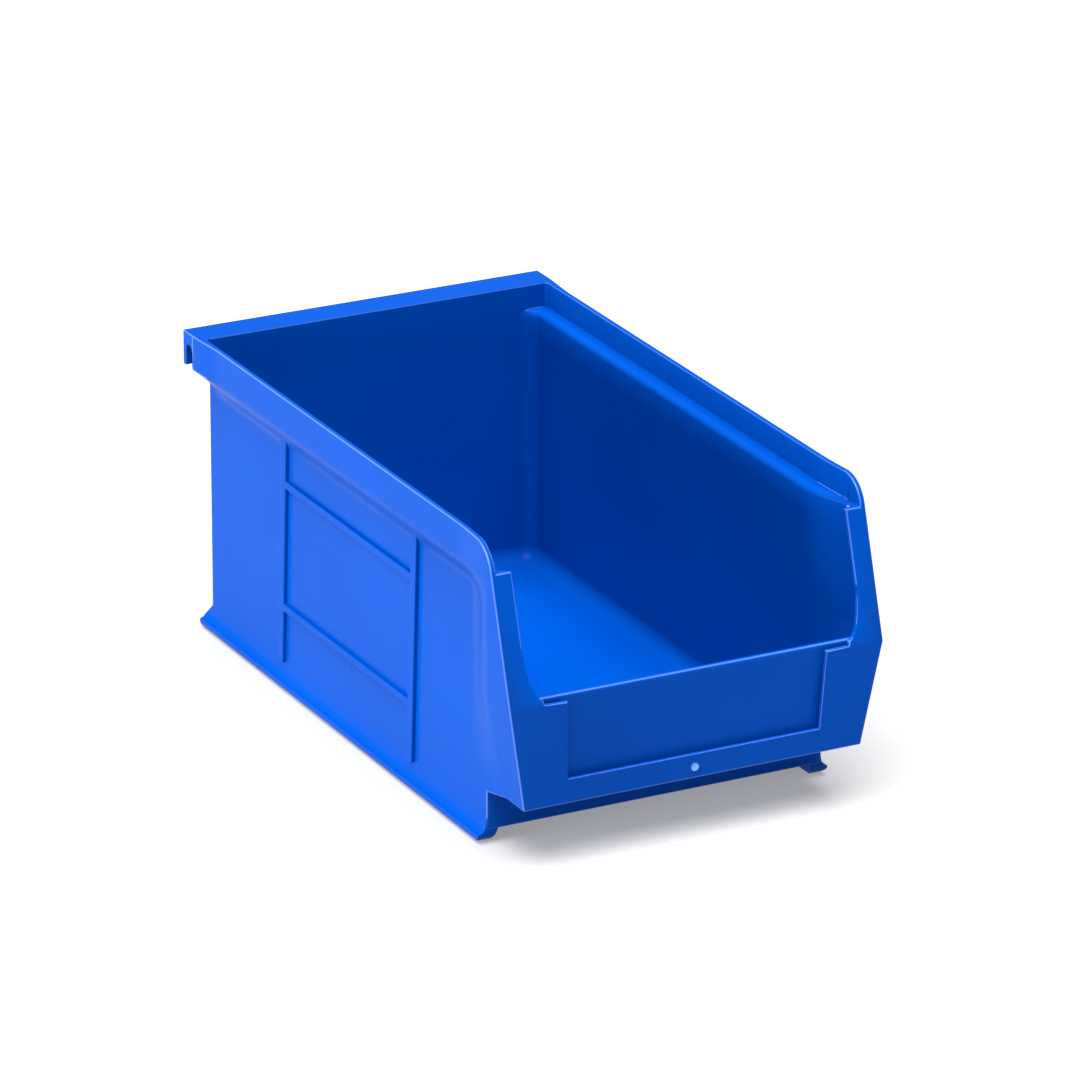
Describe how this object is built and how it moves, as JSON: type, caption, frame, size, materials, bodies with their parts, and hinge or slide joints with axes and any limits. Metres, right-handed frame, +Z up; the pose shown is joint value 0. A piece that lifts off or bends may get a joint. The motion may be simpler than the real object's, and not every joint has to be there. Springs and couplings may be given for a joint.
{
  "type": "stackable storage bin",
  "caption": "Open-front stacking storage bin with ribbed side walls, stacking ledges, bottom runners, a front label pocket and a rear lip for hanging on a louvre panel.",
  "frame": {"origin": "middle of the footprint, at the underside of the two runners", "axes": "+X across the bin to its right-hand side seen from the front, +Y from the hopper front to the hanging lip, +Z up"},
  "size_m": [0.15, 0.27, 0.12],
  "materials": {
    "bin_plastic": "semi-gloss blue moulded polypropylene",
    "gate_plastic": "stress-whitened blue polypropylene"
  },
  "bodies": {
    "root": {"floor_panel": "bin_plastic", "rear_wall": "bin_plastic", "left_side_wall": "bin_plastic", "right_side_wall": "bin_plastic", "left_front_cheek": "bin_plastic", "right_front_cheek": "bin_plastic", "left_stacking_ledge": "bin_plastic", "right_stacking_ledge": "bin_plastic", "left_upper_band": "bin_plastic", "right_upper_band": "bin_plastic", "left_rear_corner": "bin_plastic", "right_rear_corner": "bin_plastic", "rear_rim": "bin_plastic", "hanging_lip": "bin_plastic", "left_runner": "bin_plastic", "right_runner": "bin_plastic", "left_side_ribs": "bin_plastic", "right_side_ribs": "bin_plastic", "left_front_flange": "bin_plastic", "right_front_flange": "bin_plastic", "front_riser": "bin_plastic", "hopper_shelf": "bin_plastic", "label_back_panel": "bin_plastic", "left_label_lip": "bin_plastic", "right_label_lip": "bin_plastic", "lower_label_lip": "bin_plastic", "gate_mark": "gate_plastic"}
  },
  "joints": []
}
